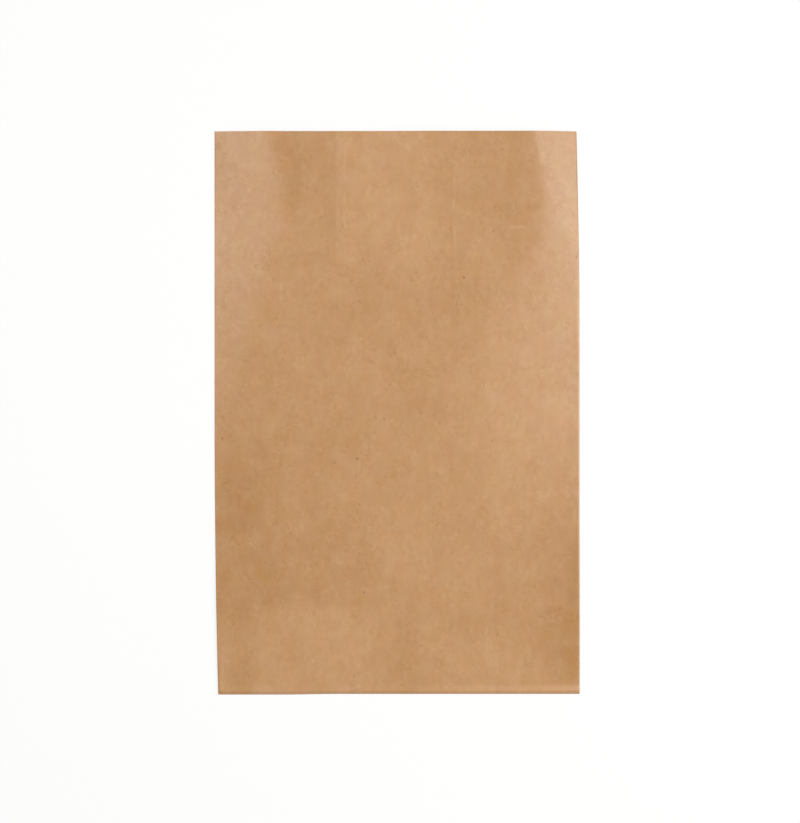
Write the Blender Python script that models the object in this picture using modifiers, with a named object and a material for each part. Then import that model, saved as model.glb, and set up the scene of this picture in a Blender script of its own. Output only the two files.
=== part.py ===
"""Flat kraft paper bag, folded flat and lying on its back with its front panel up.

The bag starts as it stands open: a box without a lid. Its creases are cut into that box, and each
vertex then goes to its place in the folded bag. Solidify gives the paper its thickness.

Frame: metres, +Z up. X runs across the bag and Y along it, from the bottom fold to the mouth. The
origin is under the middle of the bag, on the surface that it lies on.
"""

import math

import bmesh
import bpy
from mathutils import Vector

# Sizes of the folded bag
WIDTH = 0.240
LENGTH = 0.370
GUSSET = 0.060
PAPER = 0.00012

# Glued overlaps, each two layers thick
LAP_SEAM = 0.015
BOTTOM_FLAP = 0.034

# Clear space between folded layers, how far a fold takes to close, and how far one fold lies
# inside another
AIR = 0.00025
FOLD_RUN = 0.0004
NEST = 0.0011
CUT_EDGE = 0.0001

# Spring of the paper: heights above the pressed bag, and where they start and end
FLAP_SAG = 0.0009
DRAPE_RUN = 0.030
CROWN = 0.0006
RIDGE = 0.0023
RIDGE_LENGTH = 0.210
RIDGE_RUN = 0.0015
RIDGE_FALL = 0.030
GUSSET_LIFT = 0.0009

# The sides draw in a little at the foot on the left and at the mouth on the right
FOOT_DRAW_IN = 0.0024
FOOT_DRAW_LENGTH = 0.173
FOOT_DRAW_POWER = 1.8
MOUTH_DRAW_IN = 0.0020
MOUTH_DRAW_LENGTH = 0.110
MOUTH_DRAW_POWER = 1.3

BODY_ROWS = 9
CUT_TOLERANCE = 1e-7

KRAFT_COLOUR = (0.53, 0.30, 0.15, 1.0)
KRAFT_ROUGHNESS = 0.62

# The folded paper is thicker than its inside face by one layer at every edge
PANEL_WIDTH = WIDTH - 2 * PAPER
PANEL_LENGTH = LENGTH - PAPER
HALF_WIDTH = PANEL_WIDTH / 2
HALF_GUSSET = GUSSET / 2
NEST_RUN = FOLD_RUN + NEST

FRONT, BACK, SIDE, BOTTOM = range(4)
FRONT_PANEL = "front panel"
GUSSET_FRONT = "gusset leaf under the front panel"
GUSSET_BACK = "gusset leaf over the back panel"
BACK_PANEL = "back panel"
BACK_FOOT = "foot of the back panel, turned down under it"
GUSSET_FOOT = "corner of the gusset under the foot"
BOTTOM_CORNER = "triangle of the gusset on the bottom"
BOTTOM_PANEL = "bottom panel, turned up against the back"

# The layers from the surface up, each with the thicknesses of paper that lie between its inside
# face and that of the layer below: one or two for every outside face, two where it is glued double
LAYERS = (
    (BOTTOM_PANEL, 0),
    (BOTTOM_CORNER, 0),
    (GUSSET_FOOT, 2),
    (BACK_FOOT, 0),
    (BACK_PANEL, 4),
    (GUSSET_BACK, 0),
    (GUSSET_FRONT, 2),
    (FRONT_PANEL, 0),
)


def smooth(start, end, value):
    """0 before start and 1 after end, with a soft step between."""
    share = min(max((value - start) / (end - start), 0.0), 1.0)
    return share * share * (3 - 2 * share)


def clear_scene():
    for obj in list(bpy.data.objects):
        bpy.data.objects.remove(obj, do_unlink=True)


def open_box():
    """The standing bag: width along X, gusset along Y from the front at 0, height along Z."""
    bm = bmesh.new()
    bmesh.ops.create_cube(bm, size=1.0)
    bmesh.ops.scale(bm, vec=(PANEL_WIDTH, GUSSET, PANEL_LENGTH), verts=bm.verts)
    bmesh.ops.translate(bm, vec=(0, HALF_GUSSET, PANEL_LENGTH / 2), verts=bm.verts)
    lid = [face for face in bm.faces if face.normal.z > 0.5]
    bmesh.ops.delete(bm, geom=lid, context="FACES_ONLY")
    wall = bm.faces.layers.int.new("wall")
    for face in bm.faces:
        if face.normal.y < -0.5:
            face[wall] = FRONT
        elif face.normal.y > 0.5:
            face[wall] = BACK
        elif face.normal.z < -0.5:
            face[wall] = BOTTOM
        else:
            face[wall] = SIDE
    return bm, wall


def cut(bm, wall, walls, point, normal, where=None):
    """Cuts a straight line across some walls, or only where their faces' centres allow it."""
    faces = [
        face
        for face in bm.faces
        if face[wall] in walls and (where is None or where(face.calc_center_median()))
    ]
    edges = {edge for face in faces for edge in face.edges}
    verts = {vert for face in faces for vert in face.verts}
    bmesh.ops.bisect_plane(
        bm,
        geom=[*verts, *edges, *faces],
        dist=CUT_TOLERANCE,
        plane_co=point,
        plane_no=normal,
    )


def columns():
    """Distances from a side fold to each line along the front, back and bottom panels."""
    middle = HALF_WIDTH - HALF_GUSSET
    half_lap = LAP_SEAM / 2
    return [
        FOLD_RUN,
        HALF_GUSSET / 2,
        HALF_GUSSET - RIDGE_RUN,
        HALF_GUSSET,
        HALF_GUSSET + RIDGE_RUN,
        HALF_GUSSET + RIDGE_FALL / 2,
        HALF_GUSSET + RIDGE_FALL,
        HALF_GUSSET + (RIDGE_FALL + middle) / 2,
        HALF_WIDTH - half_lap - CUT_EDGE,
        HALF_WIDTH - half_lap,
    ]


def rows():
    """Heights of the lines across the front, back and side panels."""
    low = [FOLD_RUN, HALF_GUSSET / 3, HALF_GUSSET * 2 / 3, HALF_GUSSET]
    drape = [GUSSET + DRAPE_RUN * number / 3 for number in range(4)]
    start = GUSSET + DRAPE_RUN
    pitch = (PANEL_LENGTH - start) / BODY_ROWS
    body = [start + pitch * number for number in range(1, BODY_ROWS)]
    return [*low, GUSSET - FOLD_RUN, *drape, *body]


def panel_lines(bm, wall):
    """Cuts the lines across the panels, and the creases along and across them."""
    for distance in columns():
        for side in (-1, 1):
            x = side * (HALF_WIDTH - distance)
            cut(bm, wall, (FRONT, BACK, BOTTOM), (x, 0, 0), (1, 0, 0))
    for height in rows():
        cut(bm, wall, (FRONT, BACK, SIDE), (0, 0, height), (0, 0, 1))
    for depth in (FOLD_RUN, HALF_GUSSET / 2, GUSSET - HALF_GUSSET / 2, GUSSET - FOLD_RUN):
        cut(bm, wall, (SIDE, BOTTOM), (0, depth, 0), (0, 1, 0))
    for step in (-FOLD_RUN, FOLD_RUN):
        cut(bm, wall, (BACK,), (0, 0, HALF_GUSSET + step), (0, 0, 1))


def gusset_creases(bm, wall):
    """Cuts the four creases that meet in each gusset, and the lines beside them."""
    above = HALF_GUSSET + NEST_RUN
    below = HALF_GUSSET - NEST_RUN
    for height in (below, above):
        cut(bm, wall, (SIDE,), (0, 0, height), (0, 0, 1))
    for offset in (-NEST_RUN, 0, NEST_RUN):
        cut(bm, wall, (SIDE,), (0, offset * math.sqrt(2), 0), (0, 1, -1))
    cut(bm, wall, (SIDE,), (0, GUSSET, 0), (0, 1, 1))
    for step in (-FOLD_RUN, FOLD_RUN):
        cut(bm, wall, (SIDE,), (0, GUSSET + step, 0), (0, 1, 1), lambda centre: centre.z < below)
    for step in (-FOLD_RUN, 0, FOLD_RUN):
        middle = (0, HALF_GUSSET + step, 0)
        cut(bm, wall, (SIDE,), middle, (0, 1, 0), lambda centre: centre.z > above)
    cut(bm, wall, (SIDE,), (0, HALF_GUSSET, 0), (0, 1, 0), lambda centre: centre.z > HALF_GUSSET)


def flap_edges(bm, wall):
    """Cuts the edges of the glued flap on the bottom panel: one along it, and one at each corner."""
    for depth in (BOTTOM_FLAP - CUT_EDGE, BOTTOM_FLAP):
        cut(bm, wall, (BOTTOM,), (0, depth, 0), (0, 1, 0))
    for offset in (0, CUT_EDGE):
        for side in (-1, 1):
            corner = (side * (HALF_WIDTH - offset), 0, 0)
            cut(bm, wall, (BOTTOM,), corner, (side, 1, 0), lambda centre: centre.x * side > 0)


def facet(face, wall):
    """Which piece of the folded bag a face of the box belongs to."""
    centre = face.calc_center_median()
    depth, height = centre.y, centre.z
    if face[wall] == FRONT:
        return FRONT_PANEL
    if face[wall] == BOTTOM:
        return BOTTOM_PANEL
    if face[wall] == BACK:
        return BACK_PANEL if height > HALF_GUSSET else BACK_FOOT
    if depth < HALF_GUSSET and depth < height:
        return GUSSET_FRONT
    if depth > HALF_GUSSET and height > HALF_GUSSET:
        return GUSSET_BACK
    if depth > GUSSET - height:
        return GUSSET_FOOT
    return BOTTOM_CORNER


def flat_place(piece, co):
    """Distance in from the side fold and distance up from the bottom fold, folded flat."""
    inward = HALF_WIDTH - abs(co.x)
    if piece == FRONT_PANEL:
        return inward, co.z
    if piece == BOTTOM_PANEL:
        return inward, co.y
    # The back panel's crease lies inside the gusset's crease, so it stops a little short of it.
    nest = 0.0
    if inward > FOLD_RUN / 2:
        nest = NEST_RUN * (1 - smooth(FOLD_RUN, HALF_GUSSET / 3, abs(co.z - HALF_GUSSET)))
    if piece == BACK_PANEL:
        return inward, co.z + nest
    if piece == BACK_FOOT:
        return inward, GUSSET - co.z + nest
    if piece == GUSSET_FRONT:
        return co.y, co.z
    if piece == GUSSET_BACK:
        return GUSSET - co.y, co.z
    if piece == GUSSET_FOOT:
        return GUSSET - co.y, GUSSET - co.z
    return co.z, co.y


def ridge(inward, along):
    """How far the gusset's inner fold pushes the front panel up, most at the mouth."""
    reach = smooth(PANEL_LENGTH - RIDGE_LENGTH, PANEL_LENGTH, along)
    if inward < HALF_GUSSET:
        across = inward / HALF_GUSSET
    else:
        across = 1 - smooth(HALF_GUSSET, HALF_GUSSET + RIDGE_FALL, inward) / 2
    return RIDGE * reach * across


def corner_crease_distance(inward, along):
    """Distance to the slanting crease from the bottom corner to the gusset's meeting point."""
    share = min(max((inward + along) / (2 * HALF_GUSSET), 0.0), 1.0) * HALF_GUSSET
    return math.hypot(inward - share, along - share)


def pressed_heights():
    """Height of each layer's inside face where the bag is pressed flat."""
    heights = {}
    height = 2 * PAPER
    for piece, papers in LAYERS:
        height += papers * PAPER
        heights[piece] = height
        height += AIR
    return heights


def inside_face(piece, inward, along):
    """Height of the paper's inside face, the side that would touch what is in the bag."""
    pressed = pressed_heights()
    if piece == BOTTOM_PANEL:
        return pressed[piece]
    middle = smooth(HALF_GUSSET, HALF_WIDTH, inward)
    # The gusset's four creases meet at one point, halfway between its front leaf and its bottom.
    meeting = (pressed[GUSSET_FRONT] + pressed[BOTTOM_CORNER]) / 2
    opened = min(abs(along - HALF_GUSSET) / NEST_RUN, 1.0)
    if piece in (BACK_PANEL, BACK_FOOT) and inward < FOLD_RUN / 2 and opened < 1:
        return meeting + (pressed[piece] - meeting) * opened
    if piece == BACK_FOOT:
        return pressed[piece] - FLAP_SAG / 2 * middle
    # Past the bottom panel, the layers above it come down to the surface.
    down = smooth(GUSSET, GUSSET + DRAPE_RUN, along)
    drop = (pressed[BACK_PANEL] - pressed[BOTTOM_PANEL]) * down
    # Below the foot's crease, the front layers close onto the bottom panel.
    close = 1 - smooth(0, HALF_GUSSET, along)
    shut = (pressed[GUSSET_FRONT] - pressed[GUSSET_FOOT]) * close
    if piece == FRONT_PANEL:
        sag = FLAP_SAG * middle * (1 - down) * (1 - close)
        crown = CROWN * smooth(0, HALF_WIDTH, inward) * down
        return pressed[piece] - drop - shut - sag + crown + ridge(inward, along)
    if piece == BACK_PANEL:
        return pressed[piece] - drop - FLAP_SAG / 2 * middle * (1 - down)
    height = pressed[piece]
    if piece in (GUSSET_FRONT, BOTTOM_CORNER):
        meeting -= shut / 2
        opened = min(corner_crease_distance(inward, along) / NEST_RUN, 1.0)
    if piece == GUSSET_FRONT:
        height -= shut
    height = meeting + (height - meeting) * opened
    if piece in (BOTTOM_CORNER, GUSSET_FOOT):
        return height
    reach = smooth(PANEL_LENGTH - RIDGE_LENGTH, PANEL_LENGTH, along)
    return height - drop + GUSSET_LIFT * reach * inward / HALF_GUSSET


def side_edge(side, along):
    """How far a side fold stands from the middle of the bag."""
    if side < 0:
        share = max(1 - along / FOOT_DRAW_LENGTH, 0.0)
        return HALF_WIDTH - FOOT_DRAW_IN * share**FOOT_DRAW_POWER
    share = max(1 - (PANEL_LENGTH - along) / MOUTH_DRAW_LENGTH, 0.0)
    return HALF_WIDTH - MOUTH_DRAW_IN * share**MOUTH_DRAW_POWER


def folded(vert, wall):
    """Where a vertex of the box lies in the folded bag."""
    pieces = sorted({facet(face, wall) for face in vert.link_faces})
    places = [flat_place(piece, vert.co) for piece in pieces]
    inward = sum(place[0] for place in places) / len(places)
    along = sum(place[1] for place in places) / len(places)
    heights = [inside_face(piece, inward, along) for piece in pieces]
    # The gusset's meeting point is drawn down a little, so that its crease clears its own paper.
    if {GUSSET_BACK, GUSSET_FOOT, GUSSET_FRONT} <= set(pieces):
        along -= NEST_RUN / 2
    side = -1 if vert.co.x < 0 else 1
    x = side * (HALF_WIDTH - inward) * side_edge(side, along) / HALF_WIDTH
    y = along - LENGTH / 2 + PAPER
    return Vector((x, y, (min(heights) + max(heights)) / 2))


def is_double(vert, wall):
    """Whether a vertex lies on a glued overlap."""
    walls = {face[wall] for face in vert.link_faces}
    if walls <= {BACK}:
        return abs(vert.co.x) < LAP_SEAM / 2 + CUT_EDGE / 2
    if walls <= {BOTTOM}:
        depth = vert.co.y
        inside_corner = HALF_WIDTH - abs(vert.co.x) > depth + CUT_EDGE / 2
        return depth < BOTTOM_FLAP - CUT_EDGE / 2 and inside_corner
    return False


def kraft():
    material = bpy.data.materials.new("kraft_paper")
    material.use_nodes = True
    shader = material.node_tree.nodes["Principled BSDF"]
    shader.inputs["Base Color"].default_value = KRAFT_COLOUR
    shader.inputs["Roughness"].default_value = KRAFT_ROUGHNESS
    shader.inputs["Metallic"].default_value = 0.0
    return material


def paper_bag(collection):
    bm, wall = open_box()
    panel_lines(bm, wall)
    gusset_creases(bm, wall)
    flap_edges(bm, wall)
    bmesh.ops.triangulate(bm, faces=bm.faces)
    bm.verts.index_update()
    doubled = [vert.index for vert in bm.verts if is_double(vert, wall)]
    places = [folded(vert, wall) for vert in bm.verts]
    for vert, place in zip(bm.verts, places):
        vert.co = place
    mesh = bpy.data.meshes.new("paper_bag")
    bm.to_mesh(mesh)
    bm.free()
    bag = bpy.data.objects.new("paper_bag", mesh)
    collection.objects.link(bag)
    mesh.materials.append(kraft())
    group = bag.vertex_groups.new(name="glued overlap")
    group.add(doubled, 1.0, "REPLACE")
    sheet = bag.modifiers.new("paper thickness", "SOLIDIFY")
    sheet.thickness = 2 * PAPER
    sheet.offset = 1.0
    sheet.vertex_group = group.name
    sheet.thickness_vertex_group = 0.5
    sheet.use_quality_normals = True
    return bag


def main():
    clear_scene()
    collection = bpy.data.collections.new("flat_paper_bag")
    bpy.context.scene.collection.children.link(collection)
    paper_bag(collection)


main()
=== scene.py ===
# %% [markdown]
# # A kraft paper bag, folded flat
# The object is a plain brown block-bottom bag, as it comes off the pile: one tube of kraft paper with
# a gusset in each side and a glued bottom, all pressed flat. It lies on its back on a white table,
# and the camera looks straight down on its front panel.
# The lesson follows the paper. It cuts creases into a standing open box, folds that box flat, gives
# the front panel the swells of springy paper, and then makes the kraft finish, the table and the light.

import math

import bmesh
import bpy
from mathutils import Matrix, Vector, noise


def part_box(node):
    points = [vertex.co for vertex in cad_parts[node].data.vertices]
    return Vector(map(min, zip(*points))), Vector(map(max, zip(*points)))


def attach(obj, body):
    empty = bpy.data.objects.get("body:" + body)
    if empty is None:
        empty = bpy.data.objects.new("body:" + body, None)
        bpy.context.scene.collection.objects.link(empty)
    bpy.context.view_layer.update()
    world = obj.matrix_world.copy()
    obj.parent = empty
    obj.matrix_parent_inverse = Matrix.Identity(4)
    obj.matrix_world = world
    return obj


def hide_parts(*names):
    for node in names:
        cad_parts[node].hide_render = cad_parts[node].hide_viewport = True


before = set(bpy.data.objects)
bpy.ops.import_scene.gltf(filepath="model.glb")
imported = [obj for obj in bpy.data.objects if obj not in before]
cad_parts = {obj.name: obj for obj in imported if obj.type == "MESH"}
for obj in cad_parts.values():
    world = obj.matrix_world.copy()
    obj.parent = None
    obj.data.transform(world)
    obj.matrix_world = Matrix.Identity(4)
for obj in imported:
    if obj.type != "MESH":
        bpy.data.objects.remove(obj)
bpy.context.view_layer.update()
MM = 0.001
low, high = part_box("paper_bag")
print("The folded bag's box in mm:", [round(size / MM, 1) for size in high - low])

# %% [markdown]
# ## Sizes
# The outline comes from the frame. The rest is what such a bag has: a gusset a quarter as deep as the
# bag is wide, a back seam, a bottom flap and 80 gram paper 0.12 mm thick. Folded layers touch on the
# real bag. Here as much air as one paper is thick stays between them, so that no layer cuts another.

# %% Sizes of the bag
WIDTH = high.x - low.x
LENGTH = high.y - low.y
GUSSET = 60 * MM
PAPER = 0.12 * MM
LAP_SEAM = 15 * MM
BOTTOM_FLAP = 34 * MM
AIR = 0.12 * MM
PANEL_WIDTH = WIDTH - 2 * PAPER
PANEL_LENGTH = LENGTH - PAPER
HALF_WIDTH = PANEL_WIDTH / 2
HALF_GUSSET = GUSSET / 2
print("Front panel in mm:", round(PANEL_WIDTH / MM, 2), "by", round(PANEL_LENGTH / MM, 2))

# %% [markdown]
# ## The standing box
# Folded paper is hard to draw directly, because eight layers lie within four millimetres. The open
# bag is easy: it is a box without a lid. So the mesh starts as a cube whose lid is deleted, and each
# face remembers which wall it is on. Straight cuts with bisect_plane then put a line wherever the
# paper will crease. Because every layer comes out of one closed net, the layers stay joined at every
# fold, as they do in the real bag.

# %% Make the open box
FRONT, BACK, SIDE, BOTTOM = range(4)

sheet = bmesh.new()
bmesh.ops.create_cube(sheet, size=1.0)
bmesh.ops.scale(sheet, vec=(PANEL_WIDTH, GUSSET, PANEL_LENGTH), verts=sheet.verts)
bmesh.ops.translate(sheet, vec=(0, HALF_GUSSET, PANEL_LENGTH / 2), verts=sheet.verts)
lid = [face for face in sheet.faces if face.normal.z > 0.5]
bmesh.ops.delete(sheet, geom=lid, context="FACES_ONLY")
wall = sheet.faces.layers.int.new("wall")
for face in sheet.faces:
    if face.normal.y < -0.5:
        face[wall] = FRONT
    elif face.normal.y > 0.5:
        face[wall] = BACK
    elif face.normal.z < -0.5:
        face[wall] = BOTTOM
    else:
        face[wall] = SIDE
print("Walls of the open box:", len(sheet.faces))

# %% A cutting helper, and evenly spaced lines between creases
def cut(point, normal, where=None):
    """Cuts a straight line through the whole box, or through the faces that where picks."""
    if where is None:
        geom = [*sheet.verts, *sheet.edges, *sheet.faces]
    else:
        faces = [face for face in sheet.faces if where(face, face.calc_center_median())]
        edges = {edge for face in faces for edge in face.edges}
        geom = [*{vert for face in faces for vert in face.verts}, *edges, *faces]
    bmesh.ops.bisect_plane(sheet, geom=geom, dist=1e-7, plane_co=point, plane_no=normal)


def spaced(marks, pitch):
    """The marks, with evenly spaced lines between them that are no further apart than the pitch."""
    lines = [marks[0]]
    for start, end in zip(marks, marks[1:]):
        steps = max(1, math.ceil((end - start) / pitch - 1e-6))
        lines += [start + (end - start) * number / steps for number in range(1, steps + 1)]
    return lines


# %% Where the lines of the grid run
# Paper leaves a fold within FOLD_RUN, and where it ends on other paper it steps down within CUT_EDGE.
# Columns are distances from a side fold, rows from the bottom fold, and depths from the front wall.
# The grid is finest where the paper will bend, and further in than CALM the front panel hardly does.
FOLD_RUN = 0.4 * MM
CUT_EDGE = 0.1 * MM
FINE = 1.2 * MM
CALM = 77 * MM
half_lap = LAP_SEAM / 2
columns = [
    *spaced([FOLD_RUN, FINE, 22 * MM], 2 * MM),
    *spaced([22 * MM, HALF_GUSSET, 38 * MM], FINE)[1:],  # where the crests of the rolls will run
    *spaced([38 * MM, CALM], 3 * MM)[1:],
    *spaced([CALM, 88 * MM], FINE)[1:],  # the left edge of the panel's raised middle
    *spaced([88 * MM, HALF_WIDTH - half_lap - CUT_EDGE], 4 * MM)[1:],
    *spaced([HALF_WIDTH - half_lap, HALF_WIDTH], 4 * MM),  # the lap of the back seam
]
rows = [
    *spaced([FOLD_RUN, 8 * MM], FINE),  # the bottom fold, which springs open a little
    *spaced([8 * MM, HALF_GUSSET - FOLD_RUN], 3.5 * MM)[1:],
    HALF_GUSSET,  # the fold that turns the foot down under the back panel
    *spaced([HALF_GUSSET + FOLD_RUN, GUSSET, PANEL_LENGTH], 3.5 * MM),
]
depths = spaced([FOLD_RUN, HALF_GUSSET / 2, GUSSET - HALF_GUSSET / 2, GUSSET - FOLD_RUN], 5 * MM)
print("Columns, rows and depths of the grid:", len(columns), len(rows), len(depths))

# %% Cut the grid, whose lines include every straight crease
# No line runs close beside the gusset's inner fold, because the creases there get lines of their own.
INNER_FOLD_CLEAR = 3 * MM
for distance in columns[:-1]:
    for side in (-1, 1):
        cut((side * (HALF_WIDTH - distance), 0, 0), (1, 0, 0))
cut((0, 0, 0), (1, 0, 0))
for height in rows[:-1]:
    cut((0, 0, height), (0, 0, 1))
for depth in (*depths, BOTTOM_FLAP - CUT_EDGE, BOTTOM_FLAP):
    if not HALF_GUSSET - INNER_FOLD_CLEAR < depth < HALF_GUSSET + INNER_FOLD_CLEAR:
        cut((0, depth, 0), (0, 1, 0))
print("Faces after the straight cuts:", len(sheet.faces))

# %% [markdown]
# ## The gusset's creases
# Each side wall folds inwards along its middle. At the bottom, that fold meets three more creases at
# one point, and the paper there makes two triangles and a corner. The slanting cuts below put those
# creases in, and two lines beside each one, where the paper leaves its fold.

# %% Helpers that pick the faces to cut
def gusset(lowest=0.0, highest=LENGTH):
    """Picks the faces of the side walls whose middle lies between two heights."""
    return lambda face, centre: face[wall] == SIDE and lowest < centre.z < highest


def bottom_half(side):
    """Picks the faces of the bottom on one side of its middle."""
    return lambda face, centre: face[wall] == BOTTOM and centre.x * side > 0


# %% Cut the slanting creases of the two gussets and the corners of the bottom flap
# Where folds lie inside each other, near the point of the gusset, paper leaves its fold in NEST_RUN.
NEST_RUN = 1.5 * MM
above = HALF_GUSSET + NEST_RUN
below = HALF_GUSSET - NEST_RUN
for height in (below, above):
    cut((0, 0, height), (0, 0, 1), gusset())
for offset in (-NEST_RUN, 0, NEST_RUN):
    cut((0, offset * math.sqrt(2), 0), (0, 1, -1), gusset())
cut((0, GUSSET, 0), (0, 1, 1), gusset())
for step in (-FOLD_RUN, FOLD_RUN):
    cut((0, GUSSET + step, 0), (0, 1, 1), gusset(highest=below))
for step in (-FOLD_RUN, 0, FOLD_RUN):
    cut((0, HALF_GUSSET + step, 0), (0, 1, 0), gusset(lowest=above))
cut((0, HALF_GUSSET, 0), (0, 1, 0), gusset(lowest=HALF_GUSSET))
for offset in (0, CUT_EDGE):
    for side in (-1, 1):
        corner = (side * (HALF_WIDTH - offset), 0, 0)
        cut(corner, (side, 1, 0), bottom_half(side))
many_sided = [face for face in sheet.faces if len(face.verts) > 4]
bmesh.ops.triangulate(sheet, faces=many_sided)
sheet.verts.index_update()
print("Faces after the slanting cuts:", len(sheet.faces))

# %% [markdown]
# ## How the front panel lies
# The folded layers push the front panel up, most at the open mouth. There, each gusset's inner fold
# lifts it into a long soft roll, and from that roll it falls outwards to the side fold. Those two
# falling strips are what catches the light in the upper corners. Towards the foot the rolls sink, and
# the panel lies almost flat on the layers below. A sculpted surface could have the same swells, but a
# short table of heights can be read and changed: each roll is given at a few distances along the bag,
# and a soft curve joins them.

# %% Soft steps and curves for the swells
def smooth(start, end, value):
    """0 at the start and 1 at the end, with a soft step between. The start may be the larger one."""
    share = min(max((value - start) / (end - start), 0.0), 1.0)
    return share * share * (3 - 2 * share)


def curve(points, value):
    """Goes softly from one of the points (place, height) to the next."""
    if value <= points[0][0]:
        return points[0][1]
    for (start, first), (end, last) in zip(points, points[1:]):
        if value <= end:
            return first + (last - first) * smooth(start, end, value)
    return points[-1][1]


# %% The two rolls
# For each side, from the bottom fold to the mouth, all in mm: the distance along the bag, how far the
# crest lies from the side fold, how high it stands above that fold, how far the panel sinks inside it,
# how softly it bends there, and (as a share) how much its outer strip is bowed.
ROLLS = {
    -1: [
        (40, 10, 0.3, 0.0, 10, 0.2),
        (90, 10, 0.3, 0.0, 10, 0.2),
        (140, 12, 0.4, 0.0, 12, 0.2),
        (190, 15, 0.6, 0.0, 14, 0.2),
        (235, 22, 1.2, 0.1, 14, 0.2),
        (275, 36, 2.0, 0.2, 10, 0.2),
        (310, 43, 2.6, 0.5, 5, 0.2),
        (340, 42, 2.8, 0.8, 3.5, 0.2),
        (370, 34, 2.9, 0.8, 4, 0.2),
    ],
    1: [
        (40, 30, 0.0, 0.0, 14, 0.15),
        (90, 30, 0.0, 0.0, 14, 0.15),
        (140, 45, 0.3, 0.0, 30, 0.15),
        (190, 58, 1.1, 0.0, 34, 0.15),
        (235, 58, 1.5, 0.0, 34, 0.15),
        (275, 33, 1.4, 0.2, 18, 0.2),
        (300, 25, 1.55, 0.3, 9, 0.3),
        (322, 23.5, 2.15, 0.4, 3, 0.5),
        (345, 24.3, 3.0, 0.5, 1.5, 0.4),
        (370, 28.2, 4.0, 0.5, 1.5, 0.2),
    ],
}
print("Places given for the left and the right roll:", len(ROLLS[-1]), len(ROLLS[1]))

# %% The front panel's height
# Inside each crest the panel sinks over INNER_RUN, and the two sides join over JOIN each way from the
# middle. Between the gussets the panel is raised a little near the mouth, with an edge on each side.
INNER_RUN = {-1: 16 * MM, 1: 28 * MM}
JOIN = 30 * MM
RAISED = 0.09 * MM
RAISED_LEFT = (-41 * MM, -37.5 * MM)
RAISED_RIGHT = (24 * MM, 34 * MM)
RAISED_UP = (272 * MM, 292 * MM)


def along_roll(side, column, along):
    """One column of the table of rolls, in metres, at a distance along the bag."""
    return curve([(row[0] * MM, row[column] * MM) for row in ROLLS[side]], along)


def one_roll(side, inward, along):
    """How far the front panel stands above one side fold."""
    crest, height, sinks, softness = (along_roll(side, column, along) for column in (1, 2, 3, 4))
    bowed = curve([(row[0] * MM, row[5]) for row in ROLLS[side]], along)
    fall = crest - inward
    share = 1 - (fall + math.hypot(fall, softness)) / (crest + math.hypot(crest, softness))
    share += bowed * share * (1 - share)
    return height * share - sinks * smooth(crest, crest + INNER_RUN[side], inward)


def swell(x, along):
    """How far the front panel stands above its side folds: each roll on its side, joined softly."""
    right = smooth(-JOIN, JOIN, x)
    rolls = 0.0
    if right < 1:
        rolls += (1 - right) * one_roll(-1, HALF_WIDTH + x, along)
    if right > 0:
        rolls += right * one_roll(1, HALF_WIDTH - x, along)
    raised = smooth(*RAISED_LEFT, x) * (1 - smooth(*RAISED_RIGHT, x))
    return rolls + RAISED * raised * smooth(*RAISED_UP, along)


print("Right-hand crest at the mouth, in mm:", round(swell(HALF_WIDTH - 28 * MM, LENGTH) / MM, 2))

# %% [markdown]
# ## Lines where the paper bends
# A roll looks smooth only if lines of the grid run along its crest. So the lines of the front wall
# slide sideways, while the box still stands. The line over the gusset's inner fold becomes the crest,
# and its neighbours move along with it.

# %% Slide the lines of the front wall
# Below SHARP the rolls are so soft that the lines stay straight.
SHARP = (225 * MM, 270 * MM)


def follow_crest(side, inward, along):
    """Where a line of the front wall goes, so that one of them runs along the crest."""
    sharp = smooth(*SHARP, along)
    crest = HALF_GUSSET + (along_roll(side, 1, along) - HALF_GUSSET) * sharp
    if inward < HALF_GUSSET:
        return inward * crest / HALF_GUSSET
    if inward < CALM:
        return crest + (inward - HALF_GUSSET) * (CALM - crest) / (CALM - HALF_GUSSET)
    return inward


slid = 0
for vert in sheet.verts:
    if all(face[wall] == FRONT for face in vert.link_faces):
        side = -1 if vert.co.x < 0 else 1
        inward = HALF_WIDTH - abs(vert.co.x)
        moved = follow_crest(side, inward, vert.co.z)
        slid += abs(moved - inward) > 0.001 * MM
        vert.co.x = side * (HALF_WIDTH - moved)
print("Corners moved to follow the crests:", slid)

# %% [markdown]
# ## Which way the sheet runs
# Paper has a grain: its fibres lie mostly along the web that the bag was cut from, which is the long
# way of the bag. A UV map in metres keeps each face's place on the flat sheet, measured round the
# tube and up it. The fibres of the finish read that map, so they stay with the paper through each
# fold. The map breaks only where the real paper ends: at the lap of the back seam, and at the flap
# of the bottom.

# %% Keep each corner's place on the flat sheet
place_on_sheet = sheet.loops.layers.uv.new("sheet")
for face in sheet.faces:
    centre = face.calc_center_median()
    seam = -half_lap if face[wall] in (BACK, BOTTOM) else 0.0
    side = -1 if centre.x < seam else 1
    for loop in face.loops:
        x, depth, height = loop.vert.co
        if face[wall] == FRONT:
            loop[place_on_sheet].uv = (x, height)
        elif face[wall] == SIDE:
            loop[place_on_sheet].uv = (side * (HALF_WIDTH + depth), height)
        elif face[wall] == BACK:
            loop[place_on_sheet].uv = (side * (2 * HALF_WIDTH + GUSSET) - x, height)
        elif centre.y < BOTTOM_FLAP:
            loop[place_on_sheet].uv = (x, -depth)
        else:
            loop[place_on_sheet].uv = (side * (2 * HALF_WIDTH + GUSSET) - x, depth - GUSSET)
print("Corners placed on the flat sheet:", sum(len(face.loops) for face in sheet.faces))

# %% [markdown]
# ## Folding the box flat
# Each face belongs to one piece of the folded bag. Its flat place is found by unrolling that wall
# onto the bag's outline, and its height from the order of the layers. A corner shared by two pieces
# takes the middle of both, which is what rounds each fold.

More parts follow.
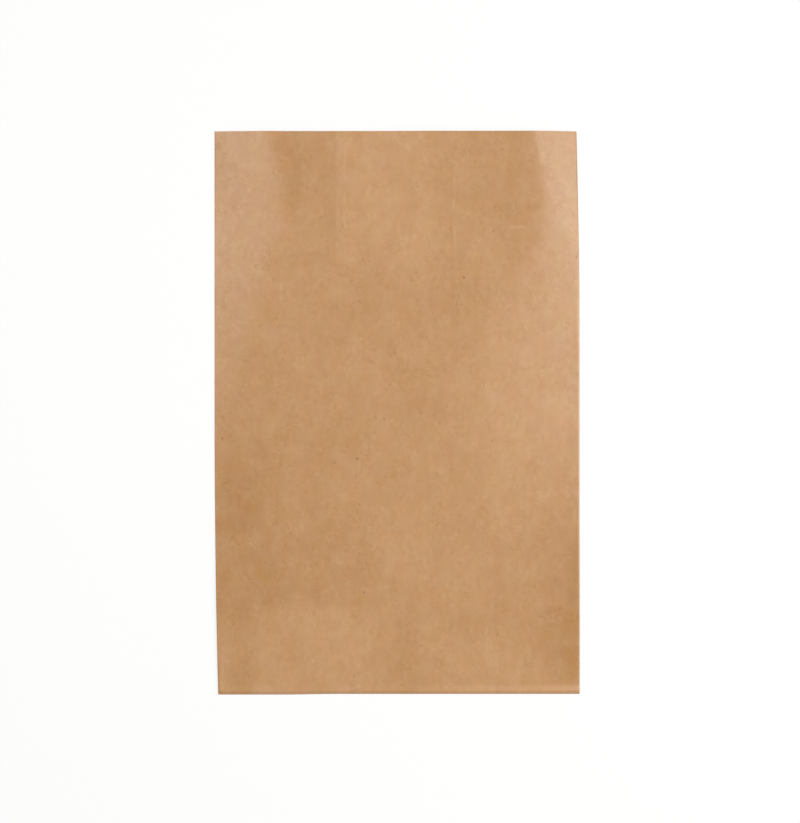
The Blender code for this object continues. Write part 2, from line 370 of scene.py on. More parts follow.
# %% The layers, from the table up
FRONT_PANEL = "front panel"
GUSSET_FRONT = "gusset leaf under the front panel"
GUSSET_BACK = "gusset leaf over the back panel"
BACK_PANEL = "back panel"
BACK_FOOT = "foot of the back panel, turned down under it"
GUSSET_FOOT = "corner of the gusset under the foot"
BOTTOM_CORNER = "triangle of the gusset on the bottom"
BOTTOM_PANEL = "bottom panel, turned up against the back"
LAYERS = (
    (BOTTOM_PANEL, 0),
    (BOTTOM_CORNER, 0),
    (GUSSET_FOOT, 2),
    (BACK_FOOT, 0),
    (BACK_PANEL, 4),
    (GUSSET_BACK, 0),
    (GUSSET_FRONT, 2),
    (FRONT_PANEL, 0),
)
PRESSED = {}
level = 2 * PAPER
for layer, papers in LAYERS:
    level += papers * PAPER
    PRESSED[layer] = level
    level += AIR
print("Layers at the foot, in mm:", [round(height / MM, 2) for height in PRESSED.values()])


# %% Where each face goes
def facet(face):
    """Which piece of the folded bag a face of the box belongs to."""
    centre = face.calc_center_median()
    depth, height = centre.y, centre.z
    if face[wall] == FRONT:
        return FRONT_PANEL
    if face[wall] == BOTTOM:
        return BOTTOM_PANEL
    if face[wall] == BACK:
        return BACK_PANEL if height > HALF_GUSSET else BACK_FOOT
    if depth < HALF_GUSSET and depth < height:
        return GUSSET_FRONT
    if depth > HALF_GUSSET and height > HALF_GUSSET:
        return GUSSET_BACK
    if depth > GUSSET - height:
        return GUSSET_FOOT
    return BOTTOM_CORNER


def flat_place(piece, co):
    """Distance in from the side fold and distance up from the bottom fold, folded flat.

    The fold between the back panel and its foot nests inside the gusset's, so it lies further up.
    """
    inward = HALF_WIDTH - abs(co.x)
    if piece == FRONT_PANEL:
        return inward, co.z
    if piece == BOTTOM_PANEL:
        return inward, co.y
    nest = 0.0
    if inward > FOLD_RUN / 2:
        nest = NEST_RUN * (1 - smooth(FOLD_RUN, HALF_GUSSET / 3, abs(co.z - HALF_GUSSET)))
    if piece == BACK_PANEL:
        return inward, co.z + nest
    if piece == BACK_FOOT:
        return inward, GUSSET - co.z + nest
    if piece == GUSSET_FRONT:
        return co.y, co.z
    if piece == GUSSET_BACK:
        return GUSSET - co.y, co.z
    if piece == GUSSET_FOOT:
        return GUSSET - co.y, GUSSET - co.z
    return co.z, co.y


# %% The bottom fold springs open a little
# Everywhere by the first height, by more towards its right-hand end, and a little at its left-hand end.
SPRUNG, SPRUNG_RIGHT, SPRUNG_LEFT = 0.1 * MM, 0.3 * MM, 0.1 * MM
TO_RIGHT, TO_LEFT = (0, 110 * MM), (-85 * MM, -110 * MM)
SPRUNG_RUN = 7 * MM


def sprung_fold(x, along):
    """How much higher the front panel lies beside the bottom fold."""
    sprung = SPRUNG + SPRUNG_RIGHT * smooth(*TO_RIGHT, x) + SPRUNG_LEFT * smooth(*TO_LEFT, x)
    return sprung * (1 - smooth(0, SPRUNG_RUN, along))


print("Bottom fold, sprung at its right-hand end, in mm:", round(sprung_fold(HALF_WIDTH, 0) / MM, 2))

# %% How high each layer lies
# Past the foot the layers drape down onto the table over DRAPE_RUN, and in the middle of the foot the
# back sags by FOOT_SAG. From LIFT_START to the mouth each gusset's inner fold lifts by GUSSET_LIFT.
# The front panel rounds off over FOOT_ROUND at the bottom fold, and its cockles die out at the folds.
DRAPE_RUN = 60 * MM
FOOT_SAG = 0.25 * MM
GUSSET_LIFT = 0.9 * MM
LIFT_START = PANEL_LENGTH - 210 * MM
FOOT_ROUND = 1.6 * MM
COCKLE = 0.08 * MM
COCKLE_WIDTH = 26 * MM
COCKLE_LENGTH = 1.6 * COCKLE_WIDTH
FREE_OF_SIDE, FREE_OF_FOOT = 12 * MM, 20 * MM


def inside_face(piece, x, inward, along):
    """Height of the paper's inside face, the side that would touch what is in the bag."""
    height = PRESSED[piece]
    if piece == BOTTOM_PANEL:
        return height
    middle = smooth(HALF_GUSSET, HALF_WIDTH, inward)
    meeting = (PRESSED[GUSSET_FRONT] + PRESSED[BOTTOM_CORNER]) / 2
    opened = min(abs(along - HALF_GUSSET) / NEST_RUN, 1.0)
    if piece in (BACK_PANEL, BACK_FOOT) and inward < FOLD_RUN / 2 and opened < 1:
        return meeting + (height - meeting) * opened
    if piece == BACK_FOOT:
        return height - FOOT_SAG * middle
    down = smooth(GUSSET, GUSSET + DRAPE_RUN, along)
    drop = (PRESSED[BACK_PANEL] - PRESSED[BOTTOM_PANEL]) * down
    close = 1 - smooth(0, HALF_GUSSET, along)
    shut = (PRESSED[GUSSET_FRONT] - PRESSED[GUSSET_FOOT]) * close
    if piece == FRONT_PANEL:
        free = smooth(0, FREE_OF_SIDE, inward) * smooth(0, FREE_OF_FOOT, along)
        cockle = COCKLE * noise.noise((x / COCKLE_WIDTH, along / COCKLE_LENGTH, 0.0))
        over = smooth(0, FOOT_ROUND, along)
        rounded = (PRESSED[GUSSET_FRONT] - PRESSED[GUSSET_FOOT]) * (1 - over)
        raised = (swell(x, along) + sprung_fold(x, along)) * over
        return height - drop - rounded + raised + cockle * free
    if piece == BACK_PANEL:
        return height - drop - FOOT_SAG * middle * (1 - down)
    if piece in (GUSSET_FRONT, BOTTOM_CORNER):
        meeting -= shut / 2
        # The slanting crease starts at the corner of the bag, and this is the nearest place on it.
        nearest = min(max((inward + along) / GUSSET, 0.0), 1.0) * HALF_GUSSET
        opened = min(math.hypot(inward - nearest, along - nearest) / NEST_RUN, 1.0)
    if piece == GUSSET_FRONT:
        height -= shut
    height = meeting + (height - meeting) * opened
    if piece in (BOTTOM_CORNER, GUSSET_FOOT):
        return height
    lift = GUSSET_LIFT * smooth(LIFT_START, PANEL_LENGTH, along) * inward / HALF_GUSSET
    return height - drop + lift


# %% The outline: the sides draw in a little at one corner each
# The left side draws in at the foot and the right side at the mouth: by how much, over what length of
# the side, and how steeply towards the corner. At the left, the bottom fold also hangs a little slack.
DRAW_IN = {-1: (2.4 * MM, 173 * MM, 1.8), 1: (2.0 * MM, 110 * MM, 1.3)}
SLACK = 0.4 * MM
SLACK_END = (-75 * MM, -40 * MM)
SLACK_RUN = 25 * MM


def side_edge(side, along):
    """How far a side fold stands from the middle of the bag."""
    depth, run, power = DRAW_IN[side]
    from_corner = along if side < 0 else PANEL_LENGTH - along
    return HALF_WIDTH - depth * max(1 - from_corner / run, 0.0) ** power


print("Left side at the bottom fold, from the middle, in mm:", round(side_edge(-1, 0) / MM, 1))


# %% Put it together: where a corner of the box lies in the folded bag
def folded(vert):
    """Where a corner of the box lies in the folded bag."""
    side = -1 if vert.co.x < 0 else 1
    pieces = sorted({facet(face) for face in vert.link_faces})
    places = [flat_place(piece, vert.co) for piece in pieces]
    inward = sum(place[0] for place in places) / len(places)
    along = sum(place[1] for place in places) / len(places)
    x = side * (HALF_WIDTH - inward)
    heights = [inside_face(piece, x, inward, along) for piece in pieces]
    if {GUSSET_BACK, GUSSET_FOOT, GUSSET_FRONT} <= set(pieces):
        along -= NEST_RUN / 2
    x *= side_edge(side, along) / HALF_WIDTH
    slack = SLACK * (1 - smooth(*SLACK_END, x)) * (1 - smooth(0, SLACK_RUN, along))
    return Vector((x, along - slack - LENGTH / 2 + PAPER, (min(heights) + max(heights)) / 2))


# %% [markdown]
# ## Painted shade and sheen
# The front panel isn't equally bright all over: some places are darker and some paler, as the light
# falls on it. That light is painted into the colour here, as painted shade and painted sheen. These
# places are soft and wide, so each corner of the mesh keeps one number for them.

# %% Painted shade and sheen on the front panel
# In mm: place across and along from the middle of the panel, its reach each way, and its strength,
# which is above 0 for painted sheen and below 0 for painted shade.
PAINTED_LIGHT_PLACES = [
    (-104, -67, 30, 68, -0.23),
    (106, -127, 22, 60, -0.22),
    (119, -105, 10, 52, -0.37),
    (0, -166, 18, 16, -0.12),
    (60, -164, 38, 20, 0.16),
    (89, -174, 10, 7, 0.10),
    (112, -168, 8, 12, -0.10),
    (30, -178, 9, 6, 0.09),
    (-48, -181, 9, 5, -0.14),
    (68, -134, 15, 18, -0.14),
    (13, -97, 14, 52, 0.16),
    (-116, -166, 6, 20, 0.22),
    (-60, -108, 50, 20, -0.065),
    (72, 10, 38, 60, 0.115),
    (116, 0, 6, 36, -0.08),
    (14, 67, 17, 17, -0.08),
    (24, 24, 17, 26, -0.09),
    (80, 140, 20, 42, -0.16),
    (42, 86, 20, 54, -0.07),
    (43, 152, 5, 42, 0.09),
    (-68, 160, 6, 32, -0.15),
    (-54, 166, 14, 26, -0.10),
    (-119, 170, 9, 22, -0.22),
    (112, 177, 14, 13, 0.14),
    (98, 185, 8, 5, 0.13),
    (101, 146, 7, 15, -0.12),
    (-113, 185, 9, 4, -0.14),
]
print("Soft places on the front panel:", len(PAINTED_LIGHT_PLACES))

# %% Three places of painted sheen that have edges
# They are painted sheen on the raised middle near the mouth, on the left half of the foot, and on a
# strip along the bottom fold that is paler to the right. Each edge is soft, and is given by the two
# places between which the painted sheen changes, in mm from the middle of the panel.
RAISED_PAINTED_SHEEN, MOUTH_PAINTED_SHEEN, FOOT_PAINTED_SHEEN, STRIP_PAINTED_SHEEN, STRIP_PAINTED_SHEEN_RIGHT = 0.14, 0.03, 0.19, 0.07, 0.23
MIDDLE_LEFT, MIDDLE_RIGHT, MIDDLE_UP, MIDDLE_MOUTH = (-41, -38), (14, 30), (90, 106), (150, 180)
FOOT_LEFT, FOOT_RIGHT, FOOT_TOP = (-103, -88), (-24, 4), (-131, -124)
STRIP_ACROSS, STRIP_TOP = (-10, 118), (-181, -178)


def painted_light_of(x, along):
    """How much painted sheen (above 0) and painted shade (below 0) the panel has at one point."""
    across, up = x / MM, (along - LENGTH / 2) / MM
    shade = 0.0
    for place, height, reach, run, strength in PAINTED_LIGHT_PLACES:
        away = ((across - place) / reach) ** 2 + ((up - height) / run) ** 2
        shade += strength * math.exp(-away)
    raised = smooth(*MIDDLE_LEFT, across) * (1 - smooth(*MIDDLE_RIGHT, across))
    raised *= smooth(*MIDDLE_UP, up)
    foot = smooth(*FOOT_LEFT, across) * (1 - smooth(*FOOT_RIGHT, across))
    foot *= 1 - smooth(*FOOT_TOP, up)
    strip = STRIP_PAINTED_SHEEN + STRIP_PAINTED_SHEEN_RIGHT * smooth(*STRIP_ACROSS, across)
    shade += (RAISED_PAINTED_SHEEN + MOUTH_PAINTED_SHEEN * smooth(*MIDDLE_MOUTH, up)) * raised
    return shade + FOOT_PAINTED_SHEEN * foot + (1 - smooth(*STRIP_TOP, up)) * strip


# The painted shade and sheen is kept in an attribute on the front panel's corners.
painted_light_layer = sheet.verts.layers.float.new("shade")
for vert in sheet.verts:
    if any(face[wall] == FRONT for face in vert.link_faces):
        vert[painted_light_layer] = painted_light_of(vert.co.x, vert.co.z)
painted_lights = [vert[painted_light_layer] for vert in sheet.verts]
print("Shade of the front panel, from", round(min(painted_lights), 2), "to", round(max(painted_lights), 2))

# %% [markdown]
# ## Folding, and the thickness of the paper
# Until here the box still stands, because each corner's place on it says where it folds to. Now all
# corners move at once. The sheet is still only a surface, and a Solidify modifier gives it the
# thickness of the paper, outwards from its inside face. A glued overlap is two papers, so its corners
# are in a vertex group that makes them twice as thick. The modifier's result then becomes the mesh.

# %% Fold the box
def is_double(vert):
    """Whether a corner of the box lies on a glued overlap."""
    walls = {face[wall] for face in vert.link_faces}
    if walls <= {BACK}:
        return abs(vert.co.x) < half_lap + CUT_EDGE / 2
    if walls <= {BOTTOM}:
        depth = vert.co.y
        inside_corner = HALF_WIDTH - abs(vert.co.x) > depth + CUT_EDGE / 2
        return depth < BOTTOM_FLAP - CUT_EDGE / 2 and inside_corner
    return False


doubled = [vert.index for vert in sheet.verts if is_double(vert)]
places = [folded(vert) for vert in sheet.verts]
for vert, place in zip(sheet.verts, places):
    vert.co = place
heights = [vert.co.z / MM for vert in sheet.verts]
print("Heights of the folded sheet in mm:", round(min(heights), 2), "to", round(max(heights), 2))

# %% Give the paper its thickness
# The modifier is set to two papers, and the corners outside the group get half of that.
mesh = bpy.data.meshes.new("folded_bag")
sheet.to_mesh(mesh)
sheet.free()
bag = bpy.data.objects.new("folded_bag", mesh)
bpy.context.scene.collection.objects.link(bag)
group = bag.vertex_groups.new(name="glued overlap")
group.add(doubled, 1.0, "REPLACE")
thickness = bag.modifiers.new("paper thickness", "SOLIDIFY")
thickness.thickness = 2 * PAPER
thickness.offset = 1.0
thickness.vertex_group = group.name
thickness.thickness_vertex_group = 0.5
thickness.use_quality_normals = True
bpy.context.view_layer.update()
solid = bpy.data.meshes.new_from_object(bag.evaluated_get(bpy.context.evaluated_depsgraph_get()))
bag.modifiers.clear()
bag.data = solid
solid.shade_smooth()
solid.set_sharp_from_angle(angle=math.radians(75))  # only the cut edges of the paper stay sharp
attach(bag, "root")
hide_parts("paper_bag")
solid.calc_loop_triangles()
print("Triangles in the folded bag:", len(solid.loop_triangles))

# %% [markdown]
# ## Kraft paper
# Bag paper is unbleached sulphate pulp, so it keeps the brown of the wood. It was dried against a
# polished cylinder, which gives its outside a soft gloss over a matt body: a dielectric of index 1.5
# and middling roughness. Up close the sheet is a mat of fibres. They lie unevenly, which clouds the
# colour, and here and there a dark splinter of bark, a shive, was left in the pulp.
# A photograph of the surface could be wrapped round the bag, but it would end at its own edges. The
# finish is built from noise instead, each one scaled to a real size in millimetres.

# %% Colours and a helper for nodes
def linear(code):
    """A hex colour as a screen shows it, turned into linear light by the sRGB formula."""
    channels = [int(code[start : start + 2], 16) / 255 for start in (1, 3, 5)]
    return (*[c / 12.92 if c <= 0.04045 else ((c + 0.055) / 1.055) ** 2.4 for c in channels], 1.0)


def add(tree, kind, settings=None, inputs=None):
    """Adds a node with its settings. An input is a value, or the output of another node."""
    node = tree.nodes.new(kind)
    for name, value in (settings or {}).items():
        setattr(node, name, value)
    for key, value in (inputs or {}).items():
        if isinstance(value, bpy.types.NodeSocket):
            tree.links.new(value, node.inputs[key])
        else:
            node.inputs[key].default_value = value
    return next(output for output in node.outputs if output.enabled)


# %% Start the kraft material, and read the place on the sheet
DARK_KRAFT = linear("#AD7C46")
PALE_KRAFT = linear("#CEA176")
BARK_BROWN = linear("#4A2A10")

kraft = bpy.data.materials.new("machine-glazed kraft paper")
kraft.use_nodes = True
tree = kraft.node_tree
shader = tree.nodes["Principled BSDF"]
shader.inputs["IOR"].default_value = 1.5
web = add(tree, "ShaderNodeUVMap", {"uv_map": "sheet"})
print("Kraft in linear light, dark and pale:", [round(c, 3) for c in DARK_KRAFT + PALE_KRAFT])


# %% Helpers for patterns and arithmetic
def on_web(size, stretch, shift):
    """The place on the sheet, counted in steps of the size, which are longer along the web.

    Each pattern is given its own shift, so that no two of them repeat each other.
    """
    steps = {"Location": (shift, shift, 0), "Scale": (1 / size, 1 / (size * stretch), 1.0)}
    return add(tree, "ShaderNodeMapping", None, {"Vector": web, **steps})


def noise_of(size, stretch=1.3, detail=2.0, roughness=0.6, shift=0.0):
    """Noise whose patches are as wide as the size. Its values lie mostly between 0.3 and 0.7."""
    inputs = {"Scale": 1.0, "Detail": detail, "Roughness": roughness}
    inputs["Vector"] = on_web(size, stretch, shift)
    return add(tree, "ShaderNodeTexNoise", {"noise_dimensions": "2D"}, inputs)


def spread(value, low, high, bottom, top):
    """Maps the stretch of values from low to high onto bottom to top."""
    ends = {"From Min": low, "From Max": high, "To Min": bottom, "To Max": top}
    return add(tree, "ShaderNodeMapRange", None, {"Value": value, **ends})


def calc(operation, first, second=0.0):
    """One step of arithmetic on two values."""
    return add(tree, "ShaderNodeMath", {"operation": operation}, {0: first, 1: second})


# %% [markdown]
# ## Clouds, flecks and fibres
# Several sizes of unevenness lie over each other. Clouds of 7 to 30 mm come from pulp that settled in
# clumps, and flecks of 2 to 4 mm are bundles of fibres. Over them lie single fibres and splinters.
# Real fibres are 0.03 mm wide, too fine for this view, so they are drawn half a millimetre wide.
# Noise alone looks like sand, because its marks have no ends. So each fibre is one stroke: a Voronoi
# pattern gives every cell of the sheet a point and a random colour, and that colour turns and bends
# a short stroke about the point.

# %% Clouds and flecks
clouds = spread(noise_of(30 * MM, detail=2.0, roughness=0.7), 0.3, 0.7, -0.085, 0.085)
clumps = spread(noise_of(8 * MM, detail=1.0, shift=41.0), 0.3, 0.7, -0.06, 0.06)
flecks = noise_of(3.4 * MM, detail=1.0, roughness=0.45, shift=3.0)
busy = spread(noise_of(12 * MM, detail=0.0, shift=19.0), 0.35, 0.65, 0.4, 1.0)
fleck_tone = calc("MULTIPLY", busy, spread(flecks, 0.25, 0.75, -0.085, 0.085))
print("Nodes for clouds and flecks:", len(tree.nodes))


# %% Strokes for fibres and splinters
def strokes(cell, share, length, width, bend, shift):
    """A short bent stroke in a share of the cells: up to 1 along its middle, and 0 beside it.

    The cell, length and width are in metres. The bend is how far the stroke curves aside at most,
    in cells, by the time it is one cell long.
    """
    place = on_web(cell, 1.2, shift)
    settings = {"voronoi_dimensions": "2D"}
    cells = add(tree, "ShaderNodeTexVoronoi", settings, {"Vector": place, "Scale": 1.0}).node
    chance = add(tree, "ShaderNodeSeparateColor", None, {0: cells.outputs["Color"]}).node
    from_point = {0: place, 1: cells.outputs["Position"]}
    from_point = add(tree, "ShaderNodeVectorMath", {"operation": "SUBTRACT"}, from_point)
    angle = calc("MULTIPLY", chance.outputs[0], 2 * math.pi)
    turned = {"Vector": from_point, "Angle": angle}
    turned = add(tree, "ShaderNodeVectorRotate", {"rotation_type": "Z_AXIS"}, turned)
    parts = add(tree, "ShaderNodeSeparateXYZ", None, {0: turned}).node
    lengthways, sideways = parts.outputs[0], parts.outputs[1]
    squared = calc("MULTIPLY", lengthways, lengthways)
    bow = calc("MULTIPLY", squared, spread(chance.outputs[1], 0.0, 1.0, -bend, bend))
    beside = calc("ABSOLUTE", calc("SUBTRACT", sideways, bow))
    body = spread(beside, 0.2 * width / cell, width / cell, 1.0, 0.0)
    ends = spread(calc("ABSOLUTE", lengthways), 0.3 * length / cell, 0.5 * length / cell, 1.0, 0.0)
    chosen = spread(chance.outputs[2], 1 - share, 1.0, 0.0, 1.0)
    return calc("MULTIPLY", calc("MULTIPLY", body, ends), chosen)


# %% Fibres, and the sum of all of this with the painted shade and sheen
# The sum is 0 in the darkest kraft and 1 in the palest, with the painted shade and sheen in it.
# Each kind of fibre is a short and a long one.
PALE_FIBRE, DARK_FIBRE = 0.2, -0.21
pale_fibres = calc(
    "MAXIMUM",
    strokes(4.2 * MM, 0.8, 4.0 * MM, 0.7 * MM, 1.2, 11.0),
    strokes(8.0 * MM, 0.7, 7.5 * MM, 0.6 * MM, 1.5, 23.0),
)
dark_fibres = calc(
    "MAXIMUM",
    strokes(5.0 * MM, 0.7, 3.2 * MM, 0.8 * MM, 1.0, 37.0),
    strokes(9.0 * MM, 0.6, 7.0 * MM, 0.6 * MM, 1.5, 53.0),
)
# The painted shade and sheen of the front panel, read from its attribute.
shade = add(tree, "ShaderNodeAttribute", {"attribute_name": "shade"}).node.outputs["Fac"]
tone_and_painted_light = calc("ADD", calc("ADD", shade, 0.5), calc("ADD", clouds, clumps))
tone_and_painted_light = calc("ADD", tone_and_painted_light, fleck_tone)
for fibres, strength in ((pale_fibres, PALE_FIBRE), (dark_fibres, DARK_FIBRE)):
    tone_and_painted_light = calc("ADD", tone_and_painted_light, calc("MULTIPLY", calc("MULTIPLY", fibres, busy), strength))
print("Nodes with the fibres:", len(tree.nodes))

# %% [markdown]
# ## Painted light along creases
# Faint creases run along the front panel and its side folds, and their light is painted into the
# colour: most are pale lines, painted highlights where a crease catches the lamps, and a few are
# darker, painted shade on the side that turns away. The lines break here and there. Each is a soft
# line about one place across the sheet, a little bowed, that starts and ends softly. One short crease
# runs the other way, where something nicked the panel, and the same helper draws it with the two
# directions changed over.

# %% Painted highlights and shade along creases, and along one short crease
# In mm: place across, how far its ends bow, where it starts and ends along the bag, half its width,
# and its strength, above 0 for a painted highlight and below 0 for painted shade. The crease has its
# place along the bag, and starts and ends across it.
PAINTED_CREASE_LIGHT = [
    (-34.4, 0.4, 282, 380, 1.1, 0.15),
    (-36.0, 0.0, 284, 400, 4.5, 0.05),
    (37.2, 2.0, 290, 360, 1.2, 0.19),
    (41.4, 0.0, 357, 376, 1.2, 0.16),
    (35.2, 0.6, 296, 316, 1.1, -0.10),
    (77.2, 0.4, 306, 333, 0.9, 0.12),
    (-116.8, 0.6, 2, 33, 1.3, 0.20),
    (116.9, 0.0, 111, 122, 1.8, 0.20),
    (-119.7, 0.0, 240, 378, 0.9, -0.18),
]
PAINTED_CREASE_HIGHLIGHT = (307.1, -0.8, 73.4, 86.0, 1.4, 0.24)
ways = add(tree, "ShaderNodeSeparateXYZ", None, {0: web}).node
straight_across, along_web = ways.outputs[0], ways.outputs[1]
wavering = spread(noise_of(9 * MM, 2.0, detail=1.0, shift=91.0), 0.0, 1.0, -0.8 * MM, 0.8 * MM)
across_web = calc("ADD", straight_across, wavering)
breaks = spread(noise_of(4 * MM, 3.0, detail=1.0, shift=97.0), 0.35, 0.6, 0.15, 1.0)


def soft_line(over, along, place, bow, start, end, width, strength):
    """A line at one place over the paper, from start to end along it. All its numbers are in mm.

    It has its strength in the middle, and fades to 0 beside it and towards its ends.
    """
    half = (end - start) / 2 * MM
    from_middle = calc("DIVIDE", calc("SUBTRACT", along, start * MM + half), half)
    bent = calc("MULTIPLY", calc("MULTIPLY", from_middle, from_middle), bow * MM)
    beside = calc("ABSOLUTE", calc("SUBTRACT", calc("SUBTRACT", over, place * MM), bent))
    body = spread(beside, 0.2 * width * MM, width * MM, strength, 0.0)
    ends = spread(calc("ABSOLUTE", from_middle), 0.75, 1.0, 1.0, 0.0)
    return calc("MULTIPLY", body, ends)


# Each line adds its painted highlight or painted shade to the colour, broken in places.
for row in PAINTED_CREASE_LIGHT:
    tone_and_painted_light = calc("ADD", tone_and_painted_light, calc("MULTIPLY", soft_line(across_web, along_web, *row), breaks))
tone_and_painted_light = calc("ADD", tone_and_painted_light, soft_line(along_web, straight_across, *PAINTED_CREASE_HIGHLIGHT))
print("Rubbed lines:", len(PAINTED_CREASE_LIGHT))

# %% [markdown]
# ## Shives
# A few splinters of bark are a millimetre long and nearly black. Most are scattered, as faint brown
# strokes. The largest ones lie where they are seen on the front panel, each with its own place.

# %% Shives
# In mm: place across from the middle and along from the bottom fold, radius, and strength.
SHIVES = [
    (44.1, 273.8, 0.9, 0.55),
    (-8.5, 180.5, 0.9, 0.35),
    (-26.2, 154.8, 1.0, 0.55),
    (-24.9, 124.6, 0.7, 0.35),
    (-55.2, 246.9, 0.7, 0.3),
    (-93.3, 340.9, 0.6, 0.25),
    (-80.8, 307.4, 0.6, 0.25),
    (-111.1, 43.7, 0.6, 0.25),
]
RAGGED = 1.2 * MM  # how far the edge of a shive wanders
FLAT = (1.0, 1.0, 0.0)


def vector(operation, first, second=(0.0, 0.0, 0.0)):
    """One step of arithmetic on vectors. The number of a scale has a socket of its own."""
    inputs = {0: first, "Scale" if operation == "SCALE" else 1: second}
    return add(tree, "ShaderNodeVectorMath", {"operation": operation}, inputs)


small = calc("MULTIPLY", strokes(16 * MM, 0.5, 2.0 * MM, 0.8 * MM, 1.0, 71.0), 0.16)
large = calc("MULTIPLY", strokes(42 * MM, 0.35, 1.8 * MM, 0.9 * MM, 1.0, 83.0), 0.35)
bark = calc("MAXIMUM", small, large)
ragged = add(tree, "ShaderNodeTexNoise", None, {"Vector": on_web(RAGGED, 1.0, 7.0), "Scale": 1.0})
ragged = vector("SUBTRACT", ragged.node.outputs["Color"], (0.5, 0.5, 0.5))
ragged = vector("ADD", web, vector("SCALE", ragged, RAGGED))
for across, along, radius, strength in SHIVES:
    away = vector("SUBTRACT", ragged, (across * MM, along * MM, 0.0))
    away = vector("LENGTH", vector("MULTIPLY", away, FLAT))
    speck = spread(away, 0.3 * radius * MM, 1.2 * radius * MM, strength, 0.0)
    bark = calc("MAXIMUM", bark, speck)
print("Shives with a place of their own:", len(SHIVES))

# %% Put the colour together
# A colour mix takes its factor at socket 0 and its two colours at sockets 6 and 7.
open_mix = {"data_type": "RGBA", "clamp_factor": False}
toned = add(tree, "ShaderNodeMix", open_mix, {0: tone_and_painted_light, 6: DARK_KRAFT, 7: PALE_KRAFT})
hue = spread(noise_of(14 * MM, detail=1.0, shift=61.0), 0.3, 0.7, 0.4975, 0.5025)
depth = spread(noise_of(11 * MM, detail=1.0, shift=67.0), 0.3, 0.7, 0.98, 1.02)
tint = {"Hue": hue, "Saturation": depth, "Color": toned}
tinted = add(tree, "ShaderNodeHueSaturation", None, tint)
speckled = add(tree, "ShaderNodeMix", {"data_type": "RGBA"}, {0: bark, 6: tinted, 7: BARK_BROWN})
tree.links.new(speckled, shader.inputs["Base Color"])
print("Nodes with the colour:", len(tree.nodes))

# %% Gloss and relief of the surface
# Pale flecks lie proud, so the polished cylinder has made them a little smoother.
gloss = spread(flecks, 0.25, 0.75, 0.32, 0.275)
tree.links.new(gloss, shader.inputs["Roughness"])
relief = calc("ADD", flecks, calc("MULTIPLY", pale_fibres, 0.5))
bump = add(tree, "ShaderNodeBump", None, {"Strength": 0.5, "Distance": 0.02 * MM, "Height": relief})
tree.links.new(bump, shader.inputs["Normal"])
solid.materials.clear()
solid.materials.append(kraft)
print("Nodes in the kraft material:", len(tree.nodes))

# %% [markdown]
# ## The table
# The bag was photographed on a seamless white sheet, which looks plain white to the camera. More
# light would make the table white too, but it would wash out the paper. So the table is a matt white
# board, and part of what the camera sees of it is a plain white glow, which lights nothing. The rest
# is the lit board itself, and it keeps the bag's faint shadow. Far from the bag, where the lamps don't
# reach, the glow takes over, so that the table fades into a white wall.

# %% The table
# What the camera sees of it is glow by this share: near the bag, and from 1.6 m outwards.
GLOW_NEAR, GLOW_FAR = 0.78, 1.0
WHITE = linear("#FFFFFF")
table_mesh = bpy.data.meshes.new("table")
bm = bmesh.new()
bmesh.ops.create_grid(bm, x_segments=1, y_segments=1, size=3.0)
bm.to_mesh(table_mesh)
bm.free()
table = bpy.data.objects.new("table", table_mesh)
bpy.context.scene.collection.objects.link(table)
paint = bpy.data.materials.new("matt white board")
paint.use_nodes = True
tree = paint.node_tree
tree.nodes.clear()
board = add(tree, "ShaderNodeBsdfDiffuse", None, {"Color": WHITE})
glow = add(tree, "ShaderNodeEmission", None, {"Color": (1.0, 1.0, 1.0, 1.0), "Strength": 1.0})
seen = add(tree, "ShaderNodeLightPath")
place = add(tree, "ShaderNodeTexCoord").node.outputs["Object"]
from_bag = add(tree, "ShaderNodeVectorMath", {"operation": "LENGTH"}, {0: place})
share = calc("MULTIPLY", seen, spread(from_bag, 0.5, 1.6, GLOW_NEAR, GLOW_FAR))
mixed = add(tree, "ShaderNodeMixShader", None, {0: share, 1: board, 2: glow})
surface = tree.nodes.new("ShaderNodeOutputMaterial").inputs["Surface"]
tree.links.new(mixed, surface)
table_mesh.materials.append(paint)
print("Table, each way in m:", [round(size, 1) for size in table.dimensions[:2]])

# %% [markdown]
# ## The light
# Grey walls light the bag evenly from all round, which is the world colour. The camera alone sees
# them white. Two softboxes hang over the mouth, one to each side, and they are what the two rolls
# mirror as pale bands. A third lamp low on the right gives the right half its softer shine. All three
# are a trace warmer than the walls.

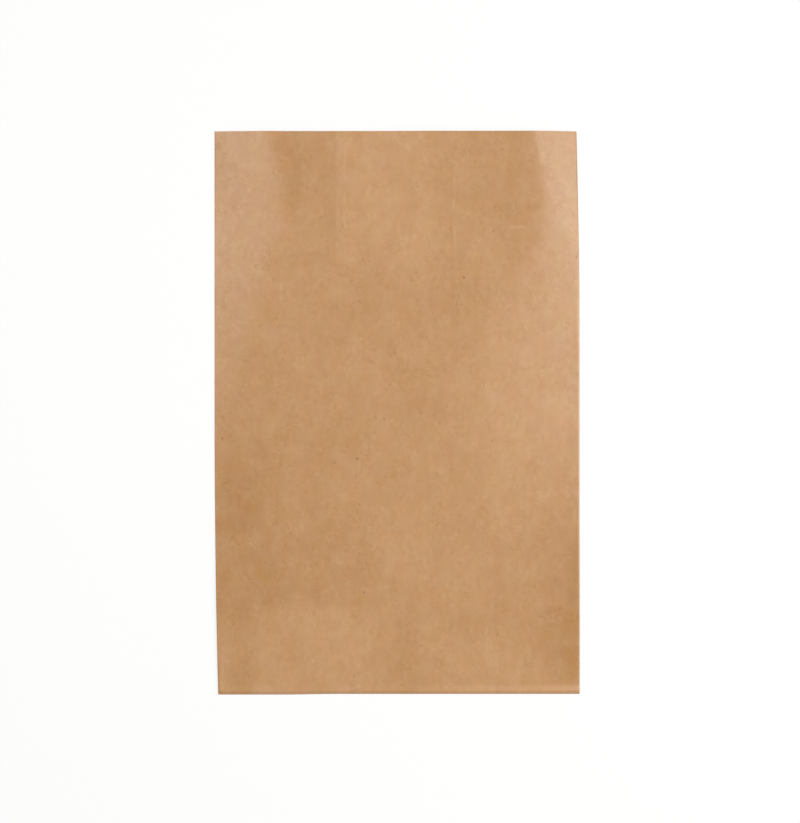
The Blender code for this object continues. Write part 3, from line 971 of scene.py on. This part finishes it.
# %% The walls
WALL_STRENGTH = 0.38
world = bpy.data.worlds.new("studio")
world.use_nodes = True
tree = world.node_tree
tree.nodes.clear()
walls = add(tree, "ShaderNodeBackground", None, {"Color": WHITE, "Strength": WALL_STRENGTH})
white = add(tree, "ShaderNodeBackground", None, {"Color": WHITE, "Strength": 1.0})
seen = add(tree, "ShaderNodeLightPath")
mixed = add(tree, "ShaderNodeMixShader", None, {0: seen, 1: walls, 2: white})
surface = tree.nodes.new("ShaderNodeOutputWorld").inputs["Surface"]
tree.links.new(mixed, surface)
bpy.context.scene.world = world
print("Walls light the bag at a strength of", WALL_STRENGTH)

# %% The lamps
LAMP_WARMTH = linear("#FFFCF7")[:3]


def softbox(name, place, size, watts):
    """A lamp panel that faces the middle of the bag. Its place and size are in metres."""
    lamp = bpy.data.lights.new(name, "AREA")
    lamp.shape = "RECTANGLE"
    lamp.size, lamp.size_y = size
    lamp.energy = watts
    lamp.color = LAMP_WARMTH
    holder = bpy.data.objects.new(name, lamp)
    holder.location = place
    holder.rotation_euler = (-Vector(place)).to_track_quat("-Z", "Y").to_euler()
    bpy.context.scene.collection.objects.link(holder)


softbox("right softbox", (0.66, 0.10, 1.3), (0.5, 0.7), 8.6)
softbox("left softbox", (-0.62, 0.30, 1.3), (0.5, 0.7), 5.0)
softbox("low right softbox", (0.94, -0.20, 0.9), (0.6, 0.6), 3.1)

# %% [markdown]
# ## The camera
# The camera looks straight down, so the bag keeps its true outline. It has a long lens, and its
# height follows from how many millimetres one pixel of the picture shows.

# %% The camera
# The frame is higher than wide, so the camera's 36 mm are spread over its height. The bag lies a little
# left of the frame's middle and below it, so the camera stands off by as much the other way.
FRAME_HEIGHT = 823
MM_PER_PIXEL = 0.658
STANDS_OFF = (1.94 * MM, 0.81 * MM)
camera_data = bpy.data.cameras.new("camera")
camera_data.lens = 100
camera_data.sensor_width = 36
camera = bpy.data.objects.new("camera", camera_data)
distance = camera_data.lens / camera_data.sensor_width * FRAME_HEIGHT * MM_PER_PIXEL * MM
camera.location = (*STANDS_OFF, distance)
bpy.context.scene.collection.objects.link(camera)
bpy.context.scene.camera = camera
bpy.context.scene.view_settings.view_transform = "Standard"
print("Camera height in m:", round(distance, 3))
